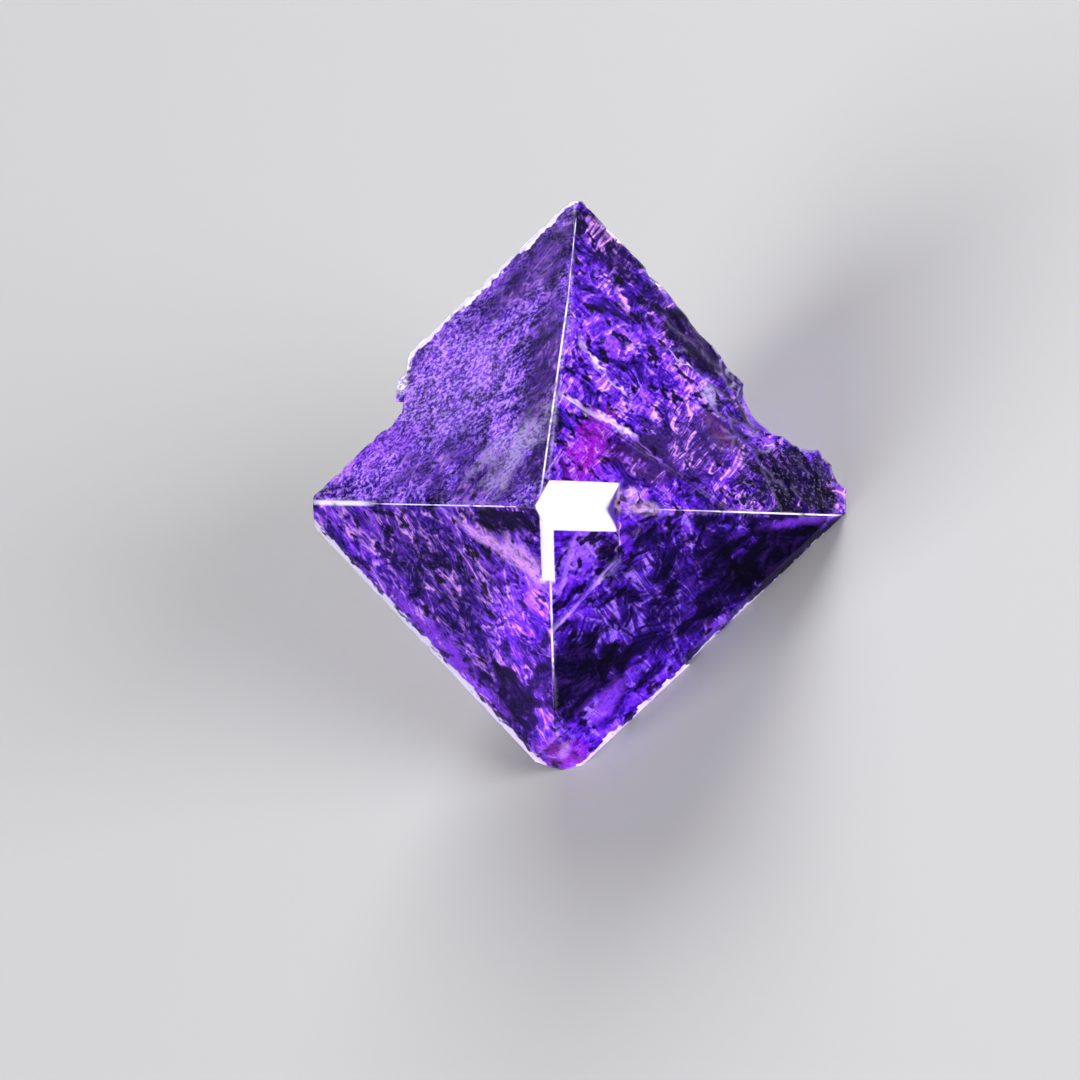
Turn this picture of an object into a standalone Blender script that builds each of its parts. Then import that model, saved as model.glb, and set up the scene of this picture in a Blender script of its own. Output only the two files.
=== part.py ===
# A violet fluorite octahedron with chipped edges, lying on one of its own faces. Metres, +Z up.
#
# The crystal is cut in millimetres in its own frame, whose axes run through its six corners: X through the
# right corner, Y through the top corner and Z through the tip that faces the viewer. It is then turned so
# that its back face towards (1, -1, -1) lies on the ground, and scaled to metres.
#
# A flat face is written as a direction and a reach: the plane where direction . point = reach. For an
# octahedron's face, such as (1, 1, 1), the reach is how far from the middle it crosses each of the axes.

import math
import random

import bmesh
import bpy
from mathutils import Matrix, Vector, noise

MM = 0.001

# Reach of the four front faces, named by the side of the tip that they lie on.
UPPER_LEFT = (-1, 1)
UPPER_RIGHT = (1, 1)
LOWER_LEFT = (-1, -1)
LOWER_RIGHT = (1, -1)
FRONT_REACH = {UPPER_LEFT: 18.0, UPPER_RIGHT: 16.4, LOWER_LEFT: 21.0, LOWER_RIGHT: 19.2}
# Above a low step, the upper right face stands higher at the ridge and is tilted a little: direction, reach.
TOP_FACE = ((1.1, 1.12, 1.0), 18.11)
TOP_STEP_Y = 8.6

# The outline seen from the tip, as the reach of each of its four sides, and the width of the narrow rim
# facet that shows along that side.
OUTLINE_REACH = {UPPER_LEFT: 19.18, UPPER_RIGHT: 17.5, LOWER_LEFT: 19.62, LOWER_RIGHT: 18.09}
RIM_WIDTH = {UPPER_LEFT: 0.22, UPPER_RIGHT: 0.15, LOWER_LEFT: 0.5, LOWER_RIGHT: 0.25}
RIM_LEAN = 0.6

# The blunt corners: direction and reach.
CORNERS = (
    ((-1, 0, 0), 16.5),
    ((1, 0, 0), 16.53),
    ((0, 1, 0), 17.88),
    ((0, -1, 0.47), 17.75),
)

# The front ridges that are worn to a narrow facet: direction, and the half width of the facet.
WORN_RIDGES = (
    ((-1, 0, 1), 0.17),
    ((1, 0, 1), 0.08),
    ((0, -1, 1), 0.06),
)
WORN_BACK_RIDGE = 0.12

# Near the tip, each of the two right faces has lost a thin flake, bounded by lines through these points
# (x, y), and a shallow step crosses the lower left face below the left ridge. The drops are in reach.
UPPER_FLAKE_EDGE = ((-0.7, 5.34), (5.86, 1.15))
UPPER_FLAKE_DROP = 0.3
LOWER_FLAKE_EDGES = (((3.1, -1.6), (3.1, -4.3)), ((2.56, -5.2), (-1.05, -9.18)))
LOWER_FLAKE_DROP = 0.4
LEFT_FLAKE_EDGE = ((-6.64, -2.46), (-1.22, -5.94))
LEFT_FLAKE_DROP = 0.12

# The window: a broad flat on the right ridge at the tip, and a slit like it on the bottom ridge. Each ends in
# a steep face that leans a little, and that lies at this X or Y at this height.
WINDOW_REACH = 16.1
WINDOW_END_X = 2.95
WINDOW_END_LEAN = 0.15
SLIT_REACH = 19.57
SLIT_END_Y = -5.9
SLIT_END_LEAN = 0.1
END_HEIGHT = 13.5

# The notch on the left of the outline: below it the crystal lies further in, with a small tooth between.
NOTCH_X = -11.15
TOOTH_X = -11.7
LEFT_OUTLINE_REACH_BELOW = 15.4
TOOTH_REACH = (15.2, 18.0)

# The lower right edge has a low ledge above this place along it.
RIGHT_LEDGE_START = -3.8
RIGHT_LEDGE_DEPTH = 0.47
RIGHT_LEDGE_LEAN = 0.4

# Broken ground along the upper right edge and at the right corner: centre, direction, the way that it
# runs, its length, width and relief.
FRACTURES = (
    ((7.59, 8.98, -1.2), (0.693, 0.59, 0.414), (0.59, -0.693, 0.0), 12.4, 12.0, 0.12),
    ((14.2, 0.6, 1.34), (0.607, 0.562, 0.562), (1.0, 0.0, -1.08), 7.2, 9.0, 0.13),
)
FRACTURE_CELL = 0.65
# How closely the broad and the fine bumps of broken ground follow each other.
FRACTURE_BROAD = 0.9
FRACTURE_FINE = 2.3

# Shell-shaped hollows: centre of the ball that bites, its radii, and the ripple height.
HOLLOWS = (
    ((12.3, 5.9, -0.8), (2.66, 2.66, 4.5), 0.03),
    ((12.1, 5.2, 3.6), (3.07, 3.07, 3.07), 0.02),
    ((9.85, 4.32, 5.5), (2.17, 2.17, 2.17), 0.03),
    ((14.1, 5.0, -1.0), (2.4, 2.4, 4.5), 0.02),
    ((16.9, 1.5, -1.3), (1.3, 1.3, 1.8), 0.03),
    ((9.9, 8.3, -0.9), (1.5, 1.5, 2.0), 0.03),
)
# The rings of a hollow: how closely they follow each other, and the direction that they spread from.
RING_CLOSENESS = 14
RINGS_FROM = Vector((0.4, 0.7, 0.6)).normalized()

# Grains grown onto the crystal: centre, half sizes.
GRAINS = (
    ((4.6, -1.42, 12.85), (0.72, 0.34, 0.42)),
    ((3.75, -0.7, 13.3), (0.56, 0.5, 0.5)),
    ((8.0, 5.75, 2.25), (0.4, 0.62, 0.4)),
    ((5.55, -1.55, 11.8), (0.3, 0.2, 0.3)),
)
GRAIN_UNEVENNESS = 0.25
GRAIN_BUMPS = 1.7

# Small chips along the edges: the two ends of the edge, how many, and the largest block's radius.
CHIPPED_EDGES = (
    ((-1.5, 17.7, -1.1), (-10.6, 8.6, -1.1), 16, 0.54),
    ((-11.6, 3.8, 2.6), (-16.2, -0.7, 2.6), 5, 0.67),
    ((3.6, 13.7, -0.7), (7.0, 10.3, -0.8), 5, 0.67),
    ((0.6, 16.8, -0.8), (3.6, 13.7, -0.7), 3, 0.35),
    ((3.6, -14.5, 1.1), (16.0, -2.0, 1.1), 6, 0.32),
    ((-15.5, -4.0, 1.4), (-3.0, -16.5, 1.4), 7, 0.42),
    ((-0.65, 16.0, 1.6), (-0.65, 9.5, 8.0), 4, 0.32),
    ((-11.0, -1.5, 8.4), (-4.0, -1.5, 15.4), 4, 0.35),
    ((7.0, -1.4, 10.9), (12.0, -1.4, 5.9), 4, 0.32),
    ((0.0, 16.5, -1.9), (0.0, 3.0, -15.3), 8, 0.96),
    ((-15.8, 0.0, -2.6), (-4.0, 0.0, -14.0), 8, 0.96),
    ((-2.0, -2.0, -15.0), (2.0, 2.0, -15.0), 3, 0.80),
)
# How far outside the edge the middle of a chip's block lies, as a share of its radius.
CHIP_STANDOFF = 0.55
# The range of a chip's size, as a share of the largest, and how far it is stretched along its two long axes.
CHIP_SIZES = (0.55, 1.0)
CHIP_LENGTHS = (0.8, 1.6)
CHIP_WIDTHS = (0.8, 1.3)
# The part of its share of the edge that a chip may lie in.
CHIP_SPOTS = (0.1, 0.9)

# World axes as seen in the crystal's own frame: the rest face's opposite points up.
WORLD_X = Vector((1, 1, 0)).normalized()
WORLD_Y = Vector((-1, 1, -2)).normalized()
WORLD_Z = Vector((-1, 1, 1)).normalized()

BLOCK_SIZE = 90.0
SEED = 4
# Points closer than this are one point, in millimetres.
WELD = 0.004


def clear_scene():
    for old in list(bpy.data.objects):
        bpy.data.objects.remove(old, do_unlink=True)


def weld(work):
    """Joins points that all but touch, and drops the slivers between them."""
    bmesh.ops.remove_doubles(work, verts=work.verts, dist=WELD)
    bmesh.ops.dissolve_degenerate(work, edges=work.edges, dist=WELD)


def new_object(name, work):
    """An object from a bmesh, its faces pointing out."""
    weld(work)
    bmesh.ops.recalc_face_normals(work, faces=work.faces)
    mesh = bpy.data.meshes.new(name)
    work.to_mesh(mesh)
    work.free()
    made = bpy.data.objects.new(name, mesh)
    bpy.context.scene.collection.objects.link(made)
    return made


def block(name, planes):
    """The convex block behind all the planes, each a direction and a reach."""
    work = bmesh.new()
    bmesh.ops.create_cube(work, size=BLOCK_SIZE)
    for direction, reach in planes:
        direction = Vector(direction)
        cut = bmesh.ops.bisect_plane(
            work,
            geom=work.verts[:] + work.edges[:] + work.faces[:],
            plane_co=direction * reach / direction.length_squared,
            plane_no=direction,
            clear_outer=True,
        )
        rim = [part for part in cut["geom_cut"] if isinstance(part, bmesh.types.BMEdge)]
        if rim:
            bmesh.ops.contextual_create(work, geom=rim)
    return new_object(name, work)


def beyond(direction, reach):
    """The same plane seen from its other side, for a cutter that starts there."""
    return tuple(-part for part in direction), -reach


def combine(body, other, operation):
    """Cuts the other object from the body, or joins it on, and removes it."""
    modifier = body.modifiers.new(operation.lower(), "BOOLEAN")
    modifier.operation = operation
    modifier.object = other
    graph = bpy.context.evaluated_depsgraph_get()
    mesh = bpy.data.meshes.new_from_object(body.evaluated_get(graph))
    body.modifiers.remove(modifier)
    bpy.data.objects.remove(other, do_unlink=True)
    work = bmesh.new()
    work.from_mesh(mesh)
    weld(work)
    bmesh.ops.triangulate(work, faces=work.faces)
    weld(work)
    work.to_mesh(mesh)
    work.free()
    body.data = mesh


def front_point(side, x, y):
    """The point of a front face that is seen at (x, y)."""
    return Vector((x, y, FRONT_REACH[side] - side[0] * x - side[1] * y))


def rim_bite(side):
    """How far a rim facet of this width lies inside the sharp edge."""
    return RIM_WIDTH[side] * math.sqrt(2) * (1 - RIM_LEAN**2) / (2 * RIM_LEAN)


def sharp_edge_reach(side):
    return OUTLINE_REACH[side] + rim_bite(side) / (1 + RIM_LEAN)


def back_reach(side, outline=None):
    """Reach of the back face that meets the front face along this side of the outline."""
    edge = sharp_edge_reach(side) if outline is None else outline
    return 2 * edge - FRONT_REACH[side]


def rim_plane(side):
    """The narrow facet along one side of the outline."""
    edge = sharp_edge_reach(side)
    edge_z = FRONT_REACH[side] - edge
    return (side[0], side[1], RIM_LEAN), edge + RIM_LEAN * edge_z - rim_bite(side)


def ridge_plane(direction, half_width):
    """The worn facet on the front ridge that lies in this direction."""
    faces = [side for side in FRONT_REACH if side[0] * direction[0] + side[1] * direction[1] > 0]
    return direction, sum(FRONT_REACH[side] for side in faces) / 2 - half_width


def back_ridge_plane(direction):
    faces = [side for side in FRONT_REACH if side[0] * direction[0] + side[1] * direction[1] > 0]
    return direction, sum(back_reach(side) for side in faces) / 2 - WORN_BACK_RIDGE


def octahedron():
    """The whole crystal with its rims, worn ridges and blunt corners, before anything is broken off."""
    planes = [TOP_FACE]
    for side, reach in FRONT_REACH.items():
        planes.append(((side[0], side[1], -1), back_reach(side)))
        planes.append(rim_plane(side))
        if side != UPPER_RIGHT:
            planes.append(((side[0], side[1], 1), reach))
    planes += [ridge_plane(direction, half_width) for direction, half_width in WORN_RIDGES]
    planes += [back_ridge_plane(direction) for direction in ((-1, 0, -1), (1, 0, -1), (0, 1, -1), (0, -1, -1))]
    planes += CORNERS
    return block("fluorite_crystal", planes)


def edge_plane(side, edge):
    """The steep plane through a line on a front face, with the tip behind it."""
    start, end = (front_point(side, x, y) for x, y in edge)
    direction = Vector((side[0], side[1], 1)).cross(end - start)
    reach = direction.dot(start)
    tip = Vector((0, 0, max(FRONT_REACH.values())))
    if direction.dot(tip) > reach:
        direction = -direction
        reach = -reach
    return tuple(direction), reach


def cut_flakes(body):
    """The thin layers lost from the front faces."""
    main_reach = FRONT_REACH[UPPER_RIGHT]
    below_step = ((-1, 1, -1), 2 * TOP_STEP_Y - main_reach)
    combine(body, block("step", (beyond((1, 1, 1), main_reach), below_step)), "DIFFERENCE")
    flakes = (
        (UPPER_RIGHT, UPPER_FLAKE_DROP, (UPPER_FLAKE_EDGE,)),
        (LOWER_RIGHT, LOWER_FLAKE_DROP, LOWER_FLAKE_EDGES),
        (LOWER_LEFT, LEFT_FLAKE_DROP, (LEFT_FLAKE_EDGE,)),
    )
    for side, drop, edges in flakes:
        floor = beyond((side[0], side[1], 1), FRONT_REACH[side] - drop)
        combine(body, block("flake", [floor] + [edge_plane(side, edge) for edge in edges]), "DIFFERENCE")


def cut_window(body):
    """The broad flat on the right ridge at the tip, and the slit on the bottom ridge."""
    window_end = ((1, 0, WINDOW_END_LEAN), WINDOW_END_X + WINDOW_END_LEAN * END_HEIGHT)
    combine(body, block("window", (beyond((1, 0, 1), WINDOW_REACH), window_end)), "DIFFERENCE")
    slit_end = ((0, -1, SLIT_END_LEAN), SLIT_END_LEAN * END_HEIGHT - SLIT_END_Y)
    combine(body, block("slit", (beyond((0, -1, 1), SLIT_REACH), slit_end)), "DIFFERENCE")


def cut_notch(body):
    """The left side below the notch, cut back in three bites that leave a small tooth."""
    back = (-1, 1, -1)
    riser = (-1, -1, -1)
    below = back_reach(UPPER_LEFT, LEFT_OUTLINE_REACH_BELOW)
    notch = -FRONT_REACH[UPPER_LEFT] - 2 * NOTCH_X
    tooth = -FRONT_REACH[UPPER_LEFT] - 2 * TOOTH_X
    low, high = TOOTH_REACH
    bites = (
        (beyond(back, high), beyond(riser, notch)),
        (beyond(back, below), beyond(riser, tooth)),
        (beyond(back, below), (back, low), beyond(riser, notch)),
    )
    for planes in bites:
        combine(body, block("bite", planes), "DIFFERENCE")


def cut_right_ledge(body):
    """The low ledge on the lower right edge."""
    edge = OUTLINE_REACH[LOWER_RIGHT] - RIGHT_LEDGE_DEPTH
    edge_z = FRONT_REACH[LOWER_RIGHT] - sharp_edge_reach(LOWER_RIGHT)
    side = beyond((1, -1, RIGHT_LEDGE_LEAN), edge + RIGHT_LEDGE_LEAN * edge_z)
    combine(body, block("ledge", (side, beyond((1, 1, 0), RIGHT_LEDGE_START))), "DIFFERENCE")


def fracture(centre, direction, run, length, width, relief):
    """A slab whose inner side is broken ground, to be cut from the body."""
    work = bmesh.new()
    columns = round(length / FRACTURE_CELL)
    rows = round(width / FRACTURE_CELL)
    bmesh.ops.create_grid(work, x_segments=columns, y_segments=rows, size=0.5)
    for vert in work.verts:
        vert.co.x *= length
        vert.co.y *= width
        vert.co.z = relief * 2 * noise.noise(vert.co * FRACTURE_BROAD + Vector(centre))
        vert.co.z += relief * noise.noise(vert.co * FRACTURE_FINE)
    lid = bmesh.ops.extrude_face_region(work, geom=work.faces[:], use_keep_orig=True)
    for part in lid["geom"]:
        if isinstance(part, bmesh.types.BMVert):
            part.co.z = width
    out = Vector(direction).normalized()
    across = out.cross(Vector(run)).normalized()
    along = across.cross(out)
    turn = Matrix((along, across, out)).transposed().to_4x4()
    work.transform(Matrix.Translation(centre) @ turn)
    return new_object("fracture", work)


def hollow(centre, radii, ripple):
    """A ball with rings like a shell's, to be cut from the body."""
    work = bmesh.new()
    bmesh.ops.create_icosphere(work, subdivisions=3, radius=1.0)
    for vert in work.verts:
        spread = vert.co.angle(RINGS_FROM)
        swell = 1 + ripple * math.sin(spread * RING_CLOSENESS) + ripple * noise.noise(vert.co * 2 + Vector(centre))
        vert.co = Vector(vert.co[axis] * radii[axis] * swell for axis in range(3))
    bmesh.ops.translate(work, verts=work.verts, vec=centre)
    return new_object("hollow", work)


def grain(centre, half_sizes):
    """A small rounded lump with an uneven skin."""
    work = bmesh.new()
    bmesh.ops.create_icosphere(work, subdivisions=2, radius=1.0)
    for vert in work.verts:
        swell = 1 + GRAIN_UNEVENNESS * noise.noise(vert.co * GRAIN_BUMPS + Vector(centre))
        vert.co = Vector(vert.co[axis] * half_sizes[axis] * swell for axis in range(3))
    bmesh.ops.translate(work, verts=work.verts, vec=centre)
    return new_object("grain", work)


def chip(centre, size, dice):
    """A rough little block that bites a chip out of an edge."""
    turn = Matrix.Rotation(dice.uniform(0, math.tau), 4, Vector((dice.random(), dice.random(), 0.5)))
    stretch = Matrix.Diagonal((dice.uniform(*CHIP_LENGTHS), dice.uniform(*CHIP_WIDTHS), 1, 1))
    place = Matrix.Translation(centre) @ turn @ stretch
    work = bmesh.new()
    bmesh.ops.create_icosphere(work, subdivisions=1, radius=size, matrix=place)
    return new_object("chip", work)


def chip_edges(body):
    """Bites the small chips out of the edges."""
    dice = random.Random(SEED)
    for start, end, count, largest in CHIPPED_EDGES:
        start = Vector(start)
        end = Vector(end)
        along = (end - start).normalized()
        for number in range(count):
            place = start.lerp(end, (number + dice.uniform(*CHIP_SPOTS)) / count)
            out = (place - along * place.dot(along)).normalized()
            size = largest * dice.uniform(*CHIP_SIZES)
            combine(body, chip(place + out * size * CHIP_STANDOFF, size, dice), "DIFFERENCE")


def lay_down(body):
    """Turns the crystal onto its rest face, with the middle of its box over the origin, in metres."""
    work = bmesh.new()
    work.from_mesh(body.data)
    work.transform(Matrix((WORLD_X, WORLD_Y, WORLD_Z)).to_4x4())
    lowest = Vector(min(vert.co[axis] for vert in work.verts) for axis in range(3))
    highest = Vector(max(vert.co[axis] for vert in work.verts) for axis in range(3))
    middle = (lowest + highest) / 2
    foot = Vector((middle.x, middle.y, lowest.z))
    bmesh.ops.translate(work, verts=work.verts, vec=-foot)
    bmesh.ops.scale(work, verts=work.verts, vec=(MM, MM, MM))
    work.to_mesh(body.data)
    work.free()


def violet_material():
    material = bpy.data.materials.new("violet_fluorite")
    material.use_nodes = True
    shader = material.node_tree.nodes["Principled BSDF"]
    shader.inputs["Base Color"].default_value = (0.12, 0.03, 0.42, 1)
    shader.inputs["Roughness"].default_value = 0.12
    shader.inputs["Metallic"].default_value = 0.0
    shader.inputs["Transmission Weight"].default_value = 1.0
    shader.inputs["IOR"].default_value = 1.434
    return material


def build():
    clear_scene()
    body = octahedron()
    cut_flakes(body)
    cut_window(body)
    cut_notch(body)
    cut_right_ledge(body)
    for values in FRACTURES:
        combine(body, fracture(*values), "DIFFERENCE")
    for values in HOLLOWS:
        combine(body, hollow(*values), "DIFFERENCE")
    for values in GRAINS:
        combine(body, grain(*values), "UNION")
    chip_edges(body)
    lay_down(body)
    body.data.materials.clear()
    body.data.materials.append(violet_material())


build()
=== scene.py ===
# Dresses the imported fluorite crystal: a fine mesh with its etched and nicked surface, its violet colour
# zones with painted shade and a painted beam of light, clear worn edges, white painted glow and highlights at
# the window, rims and ridges, soft studio light, and a camera that looks at the front tip.
#
# Places on the crystal are in millimetres in its own frame, as in the part's source: X through the right
# corner, Y through the top corner and Z through the front tip. A flat face is a direction and a reach, the
# plane where direction . point = reach.

import math

import bmesh
import bpy
from mathutils import Matrix, Vector, noise


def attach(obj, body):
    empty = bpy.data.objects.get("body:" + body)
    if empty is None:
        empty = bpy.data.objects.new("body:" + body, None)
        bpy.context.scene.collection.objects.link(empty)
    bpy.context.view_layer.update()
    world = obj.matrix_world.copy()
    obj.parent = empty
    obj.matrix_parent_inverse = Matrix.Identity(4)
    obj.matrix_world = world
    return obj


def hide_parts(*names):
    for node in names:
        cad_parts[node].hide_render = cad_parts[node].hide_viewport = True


MM = 0.001
NODE = "fluorite_crystal"

# The crystal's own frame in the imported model: it lies on its back face towards (1, -1, -1).
WORLD_X = Vector((1, 1, 0)).normalized()
WORLD_Y = Vector((-1, 1, -2)).normalized()
WORLD_Z = Vector((-1, 1, 1)).normalized()
TO_WORLD = Matrix((WORLD_X, WORLD_Y, WORLD_Z))
TO_CRYSTAL = TO_WORLD.transposed()
CRYSTAL_MIDDLE = Vector((0.758, 0.756, 9.94)) * MM

# The flat faces that differ in looks, and the ends of the window and the slit: how far to the right and how
# far down they reach, and the height above which both lie.
UPPER_LEFT = ((-1, 1, 1), 18.0)
WINDOW = ((1, 0, 1), 16.1)
WINDOW_RIGHT = 3.0
SLIT = ((0, -1, 1), 19.57)
SLIT_BOTTOM = -5.95
TIP_HEIGHT = 12.25
# The ridges from the left to the right corner, and from the tip to the bottom corner.
LEVEL_RIDGE_Y = -1.4
BOTTOM_RIDGE_X = -0.8

# Colours, from the near black blotches and painted shade to the white of the clear places and the painted
# glow.
NEAR_BLACK = (0.0006, 0.0001, 0.0018)
INDIGO = (0.003, 0.0004, 0.026)
DEEP_VIOLET = (0.050, 0.006, 0.28)
VIOLET = (0.16, 0.022, 0.66)
BRIGHT_VIOLET = (0.42, 0.11, 1.0)
LILAC = (0.52, 0.27, 0.95)
PALE_PINK = (0.95, 0.55, 1.0)
BLUE_VIOLET = (0.14, 0.05, 0.90)
PALE_BLUE_VIOLET = (0.50, 0.30, 1.0)
PALE_WHITE = (0.9, 0.72, 0.97)
MAGENTA = (0.40, 0.02, 0.50)
CRIMSON = (0.07, 0.008, 0.05)
GREY_VIOLET = (0.05, 0.024, 0.11)
GREY = (0.007, 0.007, 0.010)
PALE_GREY = (0.5, 0.45, 0.6)
BROWN_PINK = (0.26, 0.09, 0.20)
BEIGE = (0.55, 0.42, 0.36)
FROST = (0.62, 0.46, 0.9)
BACK_VIOLET = (0.24, 0.05, 0.80)
BACK_LILAC = (0.50, 0.22, 1.0)
CLEAR_AND_GLOW_WHITE = (0.98, 0.95, 1.0)

# The noise fields that the material shares: bumps to the millimetre, detail, roughness and distortion.
CLOUDS = (0.5, 3.0, 0.8, 0.8)
BLOTCHES = (0.8, 2.0, 0.85, 0.0)
GRAIN = (4.2, 1.0, 0.8, 0.0)
# How far the blotches' field pushes the pale lines aside, so that they waver, and how ragged it makes edges.
WAVER = (0.6, 0.45, 0.0)
RAGGEDNESS = 1.6

# The ramps from a noise field to a colour: the violet, and the frosted face where it is dark and light.
VIOLET_STOPS = ((0.34, INDIGO), (0.43, DEEP_VIOLET), (0.52, VIOLET), (0.63, BRIGHT_VIOLET))
FROSTED_DARK_STOPS = ((0.40, (0.006, 0.003, 0.015)), (0.50, (0.07, 0.025, 0.22)), (0.62, (0.40, 0.28, 0.62)))
FROSTED_LIGHT_STOPS = ((0.38, (0.03, 0.012, 0.12)), (0.50, (0.24, 0.09, 0.68)), (0.60, (0.75, 0.56, 1.0)))

# The threads in the violet: the way they lean, and how much longer than wide they are.
THREAD_ANGLE_ABOVE = 58.0
THREAD_ANGLE_BELOW = -57.0
THREAD_STRETCH = 0.28
THREAD_NOISE_ROUGHNESS = 0.6
# Their size in millimetres, width in the noise field, detail and distortion.
COARSE_THREADS = (1.0, 0.05, 2.0, 0.9)
FINE_THREADS = (0.33, 0.06, 1.0, 0.0)

# Places on the front that stand out, stains among painted shade and painted light: colour, how strong, centre
# (x, y), radii and the angle of the long one. A later one lies over an earlier one.
STAINS_AND_PAINTED_LIGHT = (
    (FROST, 0.2, (-8.5, 5.0), (5.5, 3.0), 45),
    (BRIGHT_VIOLET, 0.5, (-12.4, 2.0), (3.2, 1.1), 20),
    (NEAR_BLACK, 0.6, (-5.4, 11.3), (2.6, 1.1), 50),
    (CLEAR_AND_GLOW_WHITE, 0.9, (-11.3, 6.9), (0.45, 1.5), 0),
    (NEAR_BLACK, 0.9, (-1.9, 6.0), (6.5, 1.4), 88),
    (NEAR_BLACK, 0.85, (-4.6, 0.4), (4.0, 1.7), 20),
    (NEAR_BLACK, 0.8, (-2.8, 14.0), (3.6, 1.6), 45),
    (GREY_VIOLET, 0.7, (-8.6, 1.0), (3.6, 1.3), 25),
    (PALE_GREY, 0.8, (-3.1, 2.0), (3.6, 0.9), 57),
    (PALE_GREY, 0.6, (-4.9, 1.7), (2.2, 0.4), 48),
    (MAGENTA, 0.75, (1.2, 2.3), (2.4, 1.2), 75),
    (CRIMSON, 0.75, (4.1, 1.6), (2.7, 1.1), -30),
    (GREY_VIOLET, 0.87, (6.9, 2.6), (3.8, 2.4), 20),
    (NEAR_BLACK, 0.95, (6.6, 9.4), (5.4, 1.3), -45),
    (NEAR_BLACK, 0.86, (1.4, 14.9), (3.2, 1.3), -60),
    # Painted shade: the next four darken the lower faces and the lower right corner.
    (NEAR_BLACK, 0.86, (6.5, -6.2), (8.0, 3.8), 45),
    (NEAR_BLACK, 0.97, (0.3, -11.6), (4.4, 2.8), 20),
    (NEAR_BLACK, 0.68, (-7.5, -6.5), (7.0, 3.4), -45),
    (NEAR_BLACK, 1.0, (12.4, -3.7), (5.4, 2.5), 38),
    (NEAR_BLACK, 0.95, (-3.9, -2.3), (2.8, 0.9), -6),
    # Painted shade: the next two darken the bottom and the lower right face.
    (NEAR_BLACK, 0.95, (-3.4, -13.2), (3.4, 1.8), -50),
    (NEAR_BLACK, 0.7, (8.0, -7.6), (3.0, 0.8), 45),
    (PALE_PINK, 0.85, (-4.4, -3.9), (3.2, 0.42), -33),
    (PALE_PINK, 0.8, (-2.5, -4.7), (1.9, 0.7), -42),
    (LILAC, 0.5, (0.9, -3.9), (2.0, 0.9), 60),
    (NEAR_BLACK, 0.97, (2.5, -3.9), (1.5, 0.7), 68),
    (NEAR_BLACK, 0.9, (4.6, -2.9), (1.5, 0.7), 0),
    (PALE_GREY, 0.8, (8.0, 5.75), (0.6, 0.8), 0),
    (PALE_GREY, 0.3, (2.3, -5.3), (1.0, 0.35), 45),
    (BROWN_PINK, 0.35, (8.8, 3.2), (2.0, 0.5), -50),
    (NEAR_BLACK, 0.8, (10.3, 4.6), (2.2, 0.6), -45),
    (LILAC, 0.4, (10.6, 3.6), (1.2, 0.3), -35),
    (LILAC, 0.7, (3.75, -0.7), (0.7, 0.6), 0),
    # Painted shade on the right corner.
    (GREY, 0.95, (13.4, 0.9), (3.9, 2.1), -8),
    (BRIGHT_VIOLET, 0.5, (1.8, -13.6), (1.8, 0.7), 50),
    # Painted light: a bright violet beam shining through the lower left face.
    (BRIGHT_VIOLET, 0.6, (-8.0, -10.4), (5.0, 0.6), -46),
    (BRIGHT_VIOLET, 0.5, (13.6, -1.9), (2.0, 0.25), 10),
    (MAGENTA, 0.75, (-0.4, -17.0), (1.6, 1.0), 0),
    (PALE_PINK, 0.6, (-0.5, -16.6), (0.7, 0.25), 60),
    (BEIGE, 0.8, (4.6, -1.42), (1.0, 0.5), 0),
)
STAIN_AND_LIGHT_EDGE = (0.6, 1.2)
STAIN_AND_LIGHT_RAGGEDNESS = 0.45
STAIN_AND_LIGHT_LOWEST_Z = -4.0

# Pale straight features on the front: colour, start, end and half width.
PALE_LINES = (
    (PALE_WHITE, (-0.66, 5.34), (3.8, 2.96), 0.30),
    (LILAC, (3.8, 2.96), (5.8, 1.15), 0.12),
    (LILAC, (0.6, -3.2), (-0.4, -6.6), 0.2),
    (LILAC, (2.57, -4.9), (-1.0, -9.2), 0.14),
    (PALE_PINK, (3.09, -2.2), (3.09, -4.1), 0.07),
    (PALE_WHITE, (0.1, 8.9), (1.5, 6.9), 0.22),
    (PALE_WHITE, (1.9, 6.5), (3.2, 5.5), 0.16),
    (PALE_PINK, (2.0, 12.2), (2.9, 10.8), 0.15),
    (PALE_WHITE, (5.4, 8.5), (6.7, 7.5), 0.14),
    (BEIGE, (3.05, 0.0), (3.05, -1.6), 0.16),
)
# The rims along the outline, painted white as a glow of light through the thin edges: direction, reach of the
# outline and width.
RIMS = (
    ((-1, 1), 19.18, 0.55),
    ((-1, -1), 19.62, 0.62),
    ((1, -1), 18.09, 0.30),
    ((1, 1), 17.5, 0.12),
)
# The ridges painted white as highlights: start, end and half width.
RIDGE_HIGHLIGHTS = (
    ((-16.5, -1.5), (-12.6, -1.5), 0.22),
    ((-12.6, -1.5), (-2.9, -1.5), 0.06),
    ((5.4, -1.4), (8.5, -1.4), 0.035),
    ((8.5, -1.4), (16.5, -1.4), 0.08),
    ((-0.75, 17.5), (-0.8, 11.5), 0.045),
    ((-0.8, 11.5), (-1.4, -0.3), 0.09),
    ((-0.9, -5.9), (-0.9, -11.5), 0.09),
)

# The camera: how far from the crystal it stands, what it sees across, and how it is turned.
CAMERA_DISTANCE = 350.0
CAMERA_YAW = math.radians(3.6)
CAMERA_ROLL = math.radians(1.6)
CAMERA_AIM = (-2.465, -3.445)
VIEW_WIDTH = 67.5
SENSOR_WIDTH = 36.0

# The fine mesh: its longest edge, and the steps by which the coarse one is cut down to it.
FINE_EDGES = (3.0, 1.3, 0.7, 0.42)
SHARP_ANGLE = math.radians(24)
WELD = 0.0015

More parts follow.
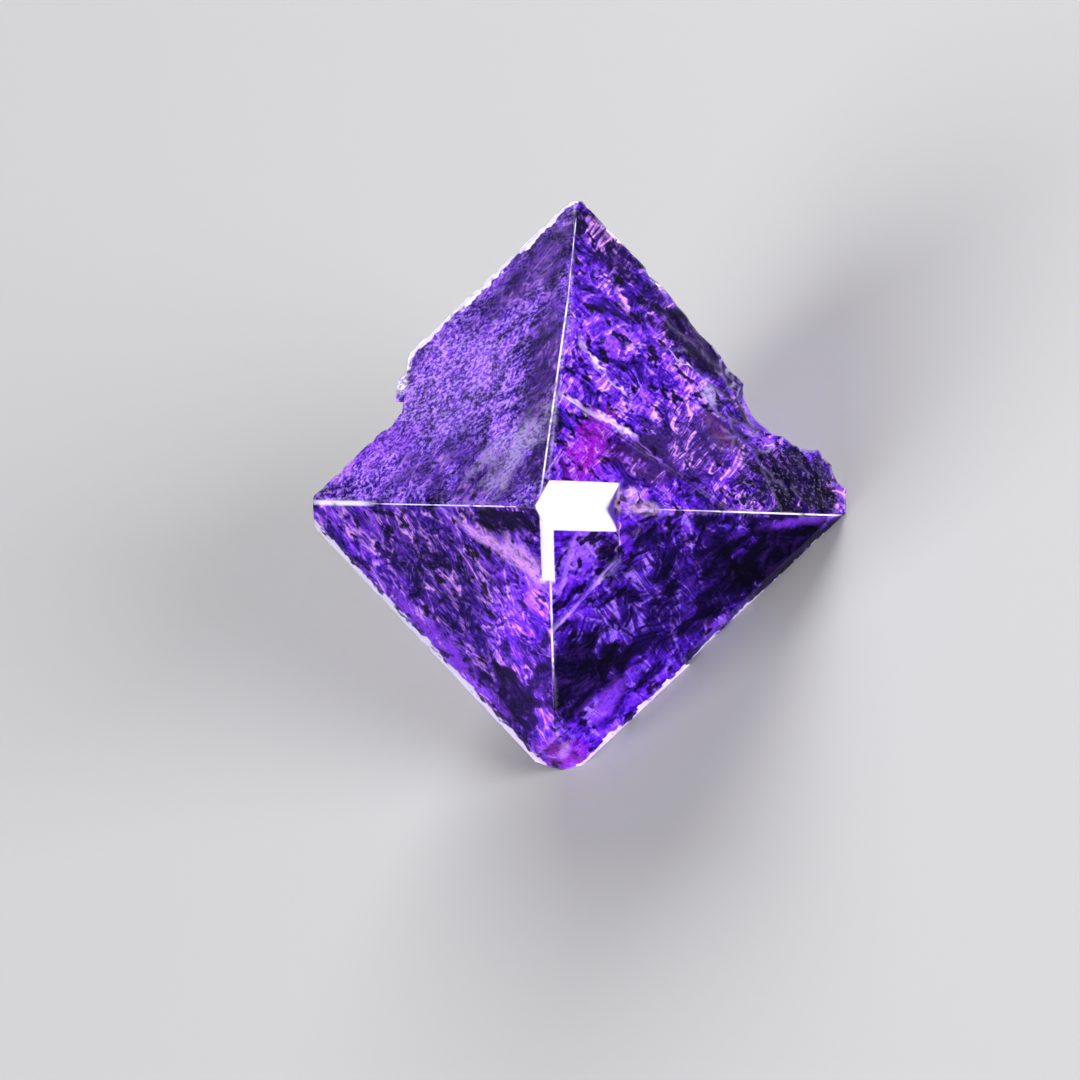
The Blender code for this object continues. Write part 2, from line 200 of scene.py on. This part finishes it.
# What is eaten into the surface: depths in millimetres, and bumps to the millimetre.
BROAD_DEPTH = 0.02
BROAD_BUMPS = 0.35
GRAIN_DEPTH = 0.012
GRAIN_BUMPS = 2.6
PIT_DEPTH = 0.02
PIT_BUMPS = 1.3
STREAK_DEPTH = 0.012
STREAK_BUMPS = Matrix(((1.17, 0.585, 0.0), (0.0, 0.325, 0.0), (0.0, 0.0, 0.52)))
STREAK_GRAIN = 0.004
NICK_DEPTH = 0.10
NICK_BUMPS = 1.1
RELIEF_SEED = Vector((7.3, 0, 0))

# The see-through violet.
TRANSMISSION = 0.65
IOR = 1.434
SPECULAR_LEVEL = 0.2
SPECULAR_TINT = (0.40, 0.22, 0.75, 1.0)
ROUGHNESS = 0.3
FROSTED_ROUGHNESS = 0.4
WINDOW_ROUGHNESS = 0.12
BUMP_STRENGTH = 0.4
BUMP_HEIGHT = 0.04
ABSORPTION_COLOUR = (0.55, 0.20, 0.95, 1.0)
ABSORPTION_DENSITY = 22.0

# The floor: half its width in metres, and how far it lies under the crystal in millimetres. It and the crystal
# would flicker if they met in one plane.
FLOOR_HALF = 1.5
FLOOR_DROP = 0.02
FLOOR_COLOUR = (0.23, 0.228, 0.232, 1.0)
FLOOR_ROUGHNESS = 0.7

# The studio: each light's name, place, width and power, and the grey of the room.
LIGHTS = (
    ("back_light", (0.48, 0.68, 0.68), 0.9, 14.5),
    ("left_light", (-0.76, -0.22, 0.62), 0.9, 14.0),
    ("front_fill", (0.48, -0.84, 0.28), 0.5, 22.0),
)
ROOM_COLOUR = (0.5, 0.5, 0.53, 1.0)
ROOM_STRENGTH = 0.12


def to_world(point):
    """A point of the crystal's own frame, in millimetres, as a place in the model."""
    return TO_WORLD @ Vector(point) * MM + CRYSTAL_MIDDLE


def to_crystal(place):
    """A place in the model as a point of the crystal's own frame, in millimetres."""
    return TO_CRYSTAL @ ((place - CRYSTAL_MIDDLE) / MM)


def off_face(face, point):
    """How far in reach a point lies from a flat face."""
    direction, reach = face
    return abs(Vector(direction).dot(point) - reach)


def make_camera():
    """The camera of the photograph's angle, almost along the crystal's own Z."""
    sin_yaw = math.sin(CAMERA_YAW)
    cos_yaw = math.cos(CAMERA_YAW)
    level = Vector((cos_yaw, 0, -sin_yaw))
    upright = Vector((0, 1, 0))
    towards = Vector((sin_yaw, 0, cos_yaw))
    right = math.cos(CAMERA_ROLL) * level + math.sin(CAMERA_ROLL) * upright
    up = math.cos(CAMERA_ROLL) * upright - math.sin(CAMERA_ROLL) * level
    aim = CAMERA_AIM[0] * level + CAMERA_AIM[1] * upright
    data = bpy.data.cameras.new("camera")
    data.sensor_width = SENSOR_WIDTH
    data.lens = SENSOR_WIDTH * CAMERA_DISTANCE / VIEW_WIDTH
    data.clip_start = 0.01
    camera = bpy.data.objects.new("camera", data)
    bpy.context.scene.collection.objects.link(camera)
    turn = Matrix([TO_WORLD @ axis for axis in (right, up, towards)]).transposed()
    camera.matrix_world = Matrix.Translation(to_world(aim + towards * CAMERA_DISTANCE)) @ turn.to_4x4()
    bpy.context.scene.camera = camera


def refine(bm):
    """Cuts the long edges down step by step, and turns the flat ones so that the triangles stay even."""
    for longest in FINE_EDGES:
        for _ in range(3):
            long_edges = [e for e in bm.edges if e.calc_length() > longest * MM]
            if not long_edges:
                break
            bmesh.ops.subdivide_edges(bm, edges=long_edges, cuts=1)
            bmesh.ops.triangulate(bm, faces=bm.faces)
        flat_edges = [e for e in bm.edges if e.is_manifold and abs(e.calc_face_angle(1.0)) < 0.01]
        bmesh.ops.beautify_fill(bm, faces=bm.faces, edges=flat_edges)


def relief(point, sharpness):
    """How deep the surface is eaten in at a point, in millimetres."""
    if off_face(WINDOW, point) < 0.06 or off_face(SLIT, point) < 0.06:
        return 0.0
    broad = noise.fractal(point * BROAD_BUMPS + RELIEF_SEED, 1.0, 2.0, 3)
    grain = noise.noise(point * GRAIN_BUMPS + RELIEF_SEED)
    depth = BROAD_DEPTH * (1 + broad)
    if off_face(UPPER_LEFT, point) < 0.1:
        pit = max(noise.noise(point * PIT_BUMPS + RELIEF_SEED), 0)
        depth += GRAIN_DEPTH * grain + PIT_DEPTH * pit
    else:
        streak = noise.noise(STREAK_BUMPS @ point)
        depth += STREAK_DEPTH * streak + STREAK_GRAIN * grain
    if sharpness > 0:
        depth += NICK_DEPTH * max(noise.noise(point * NICK_BUMPS + RELIEF_SEED * 2), 0) ** 1.5
    return max(depth, 0.0)


def edge_wear(point):
    """How far the violet skin is rubbed off a sharp edge at a point: 0 to 1, most on the back."""
    rubbed = min(max(0.35 + 0.9 * noise.noise(point * 0.8), 0.0), 1.0)
    return rubbed if point.z < 0 else 0.3 * rubbed


def stain_and_light_at(point):
    """The stains and painted shade and light at a point of the front: their colour times their strength, and
    their strength.
    """
    colour = Vector((0.0, 0.0, 0.0))
    strength = 0.0
    if point.z < STAIN_AND_LIGHT_LOWEST_Z:
        return colour, strength
    ragged = STAIN_AND_LIGHT_RAGGEDNESS * noise.fractal(point * 0.9, 0.8, 2.0, 3)
    for tint, share, centre, radii, angle in STAINS_AND_PAINTED_LIGHT:
        turn = math.radians(angle)
        x = point.x - centre[0]
        y = point.y - centre[1]
        along = (x * math.cos(turn) + y * math.sin(turn)) / radii[0]
        across = (y * math.cos(turn) - x * math.sin(turn)) / radii[1]
        away = math.hypot(along, across) + ragged
        cover = share * min(max((STAIN_AND_LIGHT_EDGE[1] - away) / (STAIN_AND_LIGHT_EDGE[1] - STAIN_AND_LIGHT_EDGE[0]), 0.0), 1.0)
        colour = colour.lerp(Vector(tint), cover)
        strength += (1.0 - strength) * cover
    return colour, strength


def store_looks(mesh, wear):
    """Keeps the stains with their painted shade and light, and the wear of the edges, on the mesh, where the
    material reads them.
    """
    stains_and_light = [stain_and_light_at(to_crystal(vertex.co)) for vertex in mesh.vertices]
    colours = [channel for colour, _ in stains_and_light for channel in colour]
    strengths = [strength for _, strength in stains_and_light]
    mesh.attributes.new("stain_and_light_colour", "FLOAT_VECTOR", "POINT")
    mesh.attributes["stain_and_light_colour"].data.foreach_set("vector", colours)
    mesh.attributes.new("stain_and_light_strength", "FLOAT", "POINT")
    mesh.attributes["stain_and_light_strength"].data.foreach_set("value", strengths)
    mesh.attributes.new("wear", "FLOAT", "POINT")
    mesh.attributes["wear"].data.foreach_set("value", wear)


def fine_crystal(node):
    """A fine copy of the crystal's solid, eaten in a little all over but for the face that it rests on."""
    bm = bmesh.new()
    bm.from_mesh(node.data)
    bmesh.ops.remove_doubles(bm, verts=bm.verts, dist=WELD * MM)
    bmesh.ops.triangulate(bm, faces=bm.faces)
    refine(bm)
    bm.normal_update()
    floor_height = min(v.co.z for v in bm.verts) + 0.01 * MM
    places = []
    wear = []
    for vertex in bm.verts:
        sharpness = max((e.calc_face_angle(0.0) for e in vertex.link_edges), default=0.0) - SHARP_ANGLE
        point = to_crystal(vertex.co)
        depth = relief(point, sharpness) if vertex.co.z > floor_height else 0.0
        places.append(vertex.co - vertex.normal * depth * MM)
        wear.append(edge_wear(point) if sharpness > 0 else 0.0)
    for vertex, place in zip(bm.verts, places):
        vertex.co = place
    mesh = bpy.data.meshes.new("violet_crystal")
    bm.to_mesh(mesh)
    bm.free()
    store_looks(mesh, wear)
    for face in mesh.polygons:
        face.use_smooth = True
    mesh.set_sharp_from_angle(angle=SHARP_ANGLE)
    piece = bpy.data.objects.new("violet_crystal", mesh)
    bpy.context.scene.collection.objects.link(piece)
    return piece


class Nodes:
    """Short names for the shader nodes of one material."""

    def __init__(self, name):
        self.material = bpy.data.materials.new(name)
        self.material.use_nodes = True
        self.tree = self.material.node_tree
        self.principled = self.tree.nodes["Principled BSDF"]
        self.output = self.tree.nodes["Material Output"]

    def feed(self, socket, value):
        if isinstance(value, bpy.types.NodeSocket):
            self.tree.links.new(value, socket)
        else:
            socket.default_value = value

    def math(self, operation, *values):
        node = self.tree.nodes.new("ShaderNodeMath")
        node.operation = operation
        for socket, value in zip(node.inputs, values):
            self.feed(socket, value)
        return node.outputs[0]

    def vector(self, operation, *values):
        node = self.tree.nodes.new("ShaderNodeVectorMath")
        node.operation = operation
        for socket, value in zip(node.inputs, values):
            self.feed(socket, value)
        return node.outputs["Value" if operation in ("DOT_PRODUCT", "LENGTH") else "Vector"]

    def map_range(self, value, low, high, to_low=0.0, to_high=1.0):
        node = self.tree.nodes.new("ShaderNodeMapRange")
        node.interpolation_type = "SMOOTHSTEP"
        for socket, item in zip(node.inputs, (value, low, high, to_low, to_high)):
            self.feed(socket, item)
        return node.outputs[0]

    def noise(self, place, scale, detail, roughness, distortion):
        node = self.tree.nodes.new("ShaderNodeTexNoise")
        self.feed(node.inputs["Vector"], place)
        node.inputs["Scale"].default_value = scale
        node.inputs["Detail"].default_value = detail
        node.inputs["Roughness"].default_value = roughness
        node.inputs["Distortion"].default_value = distortion
        return node.outputs[0]

    def ramp(self, value, stops):
        node = self.tree.nodes.new("ShaderNodeValToRGB")
        elements = node.color_ramp.elements
        while len(elements) < len(stops):
            elements.new(0.5)
        for element, (place, colour) in zip(elements, stops):
            element.position = place
            element.color = (*colour, 1.0)
        self.feed(node.inputs[0], value)
        return node.outputs[0]

    def mix(self, share, first, second, blend="MIX"):
        node = self.tree.nodes.new("ShaderNodeMix")
        node.data_type = "RGBA"
        node.blend_type = blend
        for place, value in ((0, share), (6, first), (7, second)):
            if isinstance(value, tuple):
                value = (*value, 1.0)
            self.feed(node.inputs[place], value)
        return node.outputs[2]

    def near_face(self, place, face, inner=0.1, outer=0.2):
        """1 on a flat face, 0 away from it."""
        direction, reach = face
        along = self.vector("DOT_PRODUCT", place, direction)
        away = self.math("ABSOLUTE", self.math("SUBTRACT", along, reach))
        return self.map_range(away, inner, outer, 1.0, 0.0)


def crystal_place(n):
    """The shaded point in the crystal's own frame, in millimetres."""
    coordinates = n.tree.nodes.new("ShaderNodeTexCoord")
    mapping = n.tree.nodes.new("ShaderNodeMapping")
    mapping.inputs["Scale"].default_value = (1 / MM,) * 3
    mapping.inputs["Rotation"].default_value = TO_CRYSTAL.to_euler()
    mapping.inputs["Location"].default_value = TO_CRYSTAL @ (-CRYSTAL_MIDDLE / MM)
    n.feed(mapping.inputs["Vector"], coordinates.outputs["Object"])
    return mapping.outputs[0]


def turned(n, place, centre, angle):
    """A place seen from a centre on the front, along a direction at an angle and across it."""
    cosine = math.cos(math.radians(angle))
    sine = math.sin(math.radians(angle))
    from_centre = n.vector("SUBTRACT", place, (*centre, 0.0))
    along = n.vector("DOT_PRODUCT", from_centre, (cosine, sine, 0.0))
    across = n.vector("DOT_PRODUCT", from_centre, (-sine, cosine, 0.0))
    return along, across


def thread_place(n, place, above):
    """The place stretched along the threads, which lean right above the ridges and left below."""
    leaning = []
    for angle in (THREAD_ANGLE_BELOW, THREAD_ANGLE_ABOVE):
        along, across = turned(n, place, (0.0, 0.0), angle)
        node = n.tree.nodes.new("ShaderNodeCombineXYZ")
        n.feed(node.inputs[0], across)
        n.feed(node.inputs[1], n.math("MULTIPLY", along, THREAD_STRETCH))
        leaning.append(node.outputs[0])
    return n.mix(above, *leaning)


def threads(n, stretched, size, width, detail, distortion):
    """Thin threads along the stretched place: 1 in them, 0 between them."""
    field = n.noise(stretched, 1.0 / size, detail, THREAD_NOISE_ROUGHNESS, distortion)
    away = n.math("ABSOLUTE", n.math("SUBTRACT", field, 0.5))
    return n.map_range(away, 0.0, width, 1.0, 0.0)


def line(n, place, start, end, width, fade=0.4):
    """1 along a straight line on the front, 0 away from it."""
    angle = math.degrees(math.atan2(end[1] - start[1], end[0] - start[0]))
    length = math.hypot(end[0] - start[0], end[1] - start[1])
    along, across = turned(n, place, start, angle)
    near = n.map_range(n.math("ABSOLUTE", across), 0.3 * width, width, 1.0, 0.0)
    begun = n.map_range(along, -fade, fade)
    ended = n.map_range(along, length - fade, length + fade, 1.0, 0.0)
    return both(n, near, begun, ended)


def beyond(n, place, direction, low, high):
    """0 to 1 as a point goes from low to high along a direction."""
    return n.map_range(n.vector("DOT_PRODUCT", place, direction), low, high)


def both(n, *masks):
    """1 where all the masks are 1."""
    product = masks[0]
    for mask in masks[1:]:
        product = n.math("MULTIPLY", product, mask)
    return product


def attribute(n, name):
    node = n.tree.nodes.new("ShaderNodeAttribute")
    node.attribute_name = name
    return node.outputs


def frosted_colour(n, clouds, grain):
    """The upper left face: a fine greyish lilac grain over the violet."""
    dark = n.ramp(grain, FROSTED_DARK_STOPS)
    light = n.ramp(grain, FROSTED_LIGHT_STOPS)
    return n.mix(n.map_range(clouds, 0.40, 0.58), dark, light)


def front_colour(n, place, wavy, clouds, blotches, grain, ragged, frosted):
    """The violet of the front faces, with its stains, painted shade and light, threads, blotches and pale
    lines.
    """
    above = beyond(n, place, (0, 1, 0), LEVEL_RIDGE_Y - 0.2, LEVEL_RIDGE_Y + 0.2)
    stretched = thread_place(n, place, above)
    coarse = threads(n, stretched, *COARSE_THREADS)
    fine = threads(n, stretched, *FINE_THREADS)
    colour = n.ramp(clouds, VIOLET_STOPS)
    colour = n.mix(both(n, frosted, 0.7), colour, frosted_colour(n, clouds, grain))
    cloudy = n.map_range(clouds, 0.46, 0.64, 1.0, 0.94)
    grainy = n.mix(frosted, cloudy, n.map_range(grain, 0.36, 0.6, 0.35, 1.0))
    # The stains, and the painted shade and painted beam among them, laid over the violet.
    strength = both(n, attribute(n, "stain_and_light_strength")["Fac"], grainy)
    colour = n.mix(strength, colour, (0.0, 0.0, 0.0))
    stain_and_light = n.mix(grainy, (0.0, 0.0, 0.0), attribute(n, "stain_and_light_colour")["Color"])
    colour = n.mix(1.0, colour, stain_and_light, "ADD")
    bare = n.map_range(strength, 0.78, 0.94, 1.0, 0.0)
    plain = n.map_range(frosted, 0.0, 1.0, 1.0, 0.35)
    right = beyond(n, place, (1, 0, 0), BOTTOM_RIDGE_X - 0.4, BOTTOM_RIDGE_X + 0.4)
    lower_right = both(n, right, beyond(n, place, (0, -1, 0), -LEVEL_RIDGE_Y, -LEVEL_RIDGE_Y + 0.4))
    fine_tint = n.mix(lower_right, LILAC, BLUE_VIOLET)
    coarse_tint = n.mix(lower_right, PALE_PINK, PALE_BLUE_VIOLET)
    colour = n.mix(both(n, fine, n.map_range(clouds, 0.38, 0.6), bare, plain, 0.55), colour, fine_tint)
    colour = n.mix(both(n, coarse, n.map_range(clouds, 0.45, 0.61), bare, plain), colour, coarse_tint)
    away_from_stain_and_light = n.map_range(strength, 0.6, 0.95, 1.0, 0.2)
    colour = n.mix(both(n, n.map_range(blotches, 0.53, 0.63), plain, away_from_stain_and_light, 0.95), colour, NEAR_BLACK)
    pitted = n.map_range(frosted, 0.0, 1.0, 0.45, 0.0)
    colour = n.mix(both(n, n.map_range(grain, 0.38, 0.46, 1.0, 0.0), pitted), colour, NEAR_BLACK)
    corner = both(n, beyond(n, place, (1, 0, 0), 9.5, 10.5), beyond(n, place, (0, 1, 0), -1.4, -1.0))
    colour = n.mix(both(n, n.map_range(grain, 0.56, 0.68), corner, 0.3), colour, PALE_GREY)
    ragged_fade = n.map_range(ragged, -0.2, 0.1, 1.0, 0.4)
    for tint, start, end, width in PALE_LINES:
        colour = n.mix(both(n, line(n, wavy, start, end, width), ragged_fade), colour, tint)
    return colour


def clear_and_lit_places(n, place, ragged):
    """1 where white is painted: the clear window and slit as lit by light through them, highlights on the
    ridges, a glow at the rims.
    """
    front = beyond(n, place, (0, 0, 1), 0.0, 0.6)
    at_tip = beyond(n, place, (0, 0, 1), TIP_HEIGHT - 0.25, TIP_HEIGHT + 0.25)
    left_of_end = beyond(n, place, (-1, 0, 0), -WINDOW_RIGHT - 0.1, -WINDOW_RIGHT + 0.1)
    window = both(n, n.near_face(place, WINDOW), left_of_end, at_tip)
    above_end = beyond(n, place, (0, 1, 0), SLIT_BOTTOM - 0.15, SLIT_BOTTOM + 0.15)
    slit = both(n, n.near_face(place, SLIT), above_end, at_tip)
    masks = [window, slit]
    rims = n.math("MULTIPLY", ragged, 1.1)
    ragged_fade = n.map_range(ragged, 0.0, 0.25, 1.0, 0.35)
    for direction, reach, width in RIMS:
        along = n.math("SUBTRACT", n.vector("DOT_PRODUCT", place, (*direction, 0)), rims)
        masks.append(n.map_range(along, reach - width, reach - 0.7 * width))
    # Painted highlights along the ridges.
    for start, end, width in RIDGE_HIGHLIGHTS:
        masks.append(both(n, line(n, place, start, end, width, 0.8), front, ragged_fade))
    clear_and_lit = masks[0]
    for mask in masks[1:]:
        clear_and_lit = n.math("MAXIMUM", clear_and_lit, mask)
    return clear_and_lit, window


def violet_fluorite():
    """The crystal's one material: see-through violet under a skin of colour zones, painted shade and painted
    light.
    """
    n = Nodes("violet_fluorite_looks")
    place = crystal_place(n)
    clouds = n.noise(place, *CLOUDS)
    blotches = n.noise(place, *BLOTCHES)
    grain = n.noise(place, *GRAIN)
    ragged = n.math("MULTIPLY", n.math("SUBTRACT", blotches, 0.5), RAGGEDNESS)
    wavy = n.vector("ADD", place, n.vector("MULTIPLY", ragged, WAVER))
    frosted = n.near_face(place, UPPER_LEFT)
    colour = front_colour(n, place, wavy, clouds, blotches, grain, ragged, frosted)
    back = beyond(n, place, (0, 0, -1), 1.5, 4.0)
    thin_skin = n.mix(n.map_range(clouds, 0.4, 0.6), BACK_VIOLET, BACK_LILAC)
    thin_skin = n.mix(both(n, n.map_range(blotches, 0.48, 0.62), 0.75), thin_skin, DEEP_VIOLET)
    colour = n.mix(both(n, back, 0.88), colour, thin_skin)
    colour = n.mix(both(n, attribute(n, "wear")["Fac"], 0.8), colour, CLEAR_AND_GLOW_WHITE)
    clear_and_lit, window = clear_and_lit_places(n, place, ragged)
    # Painted light: white for light through the window, slit and rims, and highlights on the ridges.
    colour = n.mix(clear_and_lit, colour, CLEAR_AND_GLOW_WHITE)
    n.feed(n.principled.inputs["Base Color"], colour)
    n.principled.inputs["Transmission Weight"].default_value = TRANSMISSION
    n.principled.inputs["IOR"].default_value = IOR
    n.principled.inputs["Specular IOR Level"].default_value = SPECULAR_LEVEL
    n.principled.inputs["Specular Tint"].default_value = SPECULAR_TINT
    rough = n.map_range(frosted, 0.0, 1.0, ROUGHNESS, FROSTED_ROUGHNESS)
    rough = n.map_range(window, 0.0, 1.0, rough, WINDOW_ROUGHNESS)
    n.feed(n.principled.inputs["Roughness"], rough)
    bump = n.tree.nodes.new("ShaderNodeBump")
    bump.inputs["Strength"].default_value = BUMP_STRENGTH
    bump.inputs["Distance"].default_value = BUMP_HEIGHT * MM
    n.feed(bump.inputs["Height"], grain)
    n.feed(n.principled.inputs["Normal"], bump.outputs[0])
    absorption = n.tree.nodes.new("ShaderNodeVolumeAbsorption")
    absorption.inputs["Color"].default_value = ABSORPTION_COLOUR
    absorption.inputs["Density"].default_value = ABSORPTION_DENSITY
    n.feed(n.output.inputs["Volume"], absorption.outputs[0])
    return n.material


def make_floor():
    """A pale floor just under the crystal."""
    mesh = bpy.data.meshes.new("floor")
    half = FLOOR_HALF
    height = -FLOOR_DROP * MM
    corners = [(-half, -half, height), (half, -half, height), (half, half, height), (-half, half, height)]
    mesh.from_pydata(corners, [], [(0, 1, 2, 3)])
    floor = bpy.data.objects.new("floor", mesh)
    bpy.context.scene.collection.objects.link(floor)
    n = Nodes("pale_floor")
    n.principled.inputs["Base Color"].default_value = FLOOR_COLOUR
    n.principled.inputs["Roughness"].default_value = FLOOR_ROUGHNESS
    mesh.materials.append(n.material)


def area_light(name, place, size, power):
    """A soft round light that faces the crystal."""
    data = bpy.data.lights.new(name, "AREA")
    data.shape = "DISK"
    data.size = size
    data.energy = power
    light = bpy.data.objects.new(name, data)
    bpy.context.scene.collection.objects.link(light)
    light.location = place
    light.rotation_euler = Vector(place).to_track_quat("Z", "Y").to_euler()


def make_lights():
    """The studio lights and the room's own grey, and a view that keeps the violet's full colour."""
    for values in LIGHTS:
        area_light(*values)
    world = bpy.data.worlds.new("studio")
    world.use_nodes = True
    world.node_tree.nodes["Background"].inputs[0].default_value = ROOM_COLOUR
    world.node_tree.nodes["Background"].inputs[1].default_value = ROOM_STRENGTH
    bpy.context.scene.world = world
    bpy.context.scene.view_settings.view_transform = "Standard"
    bpy.context.scene.view_settings.look = "High Contrast"


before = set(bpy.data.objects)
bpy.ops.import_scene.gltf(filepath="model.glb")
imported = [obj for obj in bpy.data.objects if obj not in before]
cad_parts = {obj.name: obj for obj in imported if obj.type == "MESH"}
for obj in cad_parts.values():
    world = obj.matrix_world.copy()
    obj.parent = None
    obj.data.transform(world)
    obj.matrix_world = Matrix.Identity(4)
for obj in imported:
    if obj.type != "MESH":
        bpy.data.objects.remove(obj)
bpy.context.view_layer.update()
make_camera()
crystal = fine_crystal(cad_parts[NODE])
crystal.data.materials.append(violet_fluorite())
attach(crystal, "root")
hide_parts(NODE)
make_floor()
make_lights()
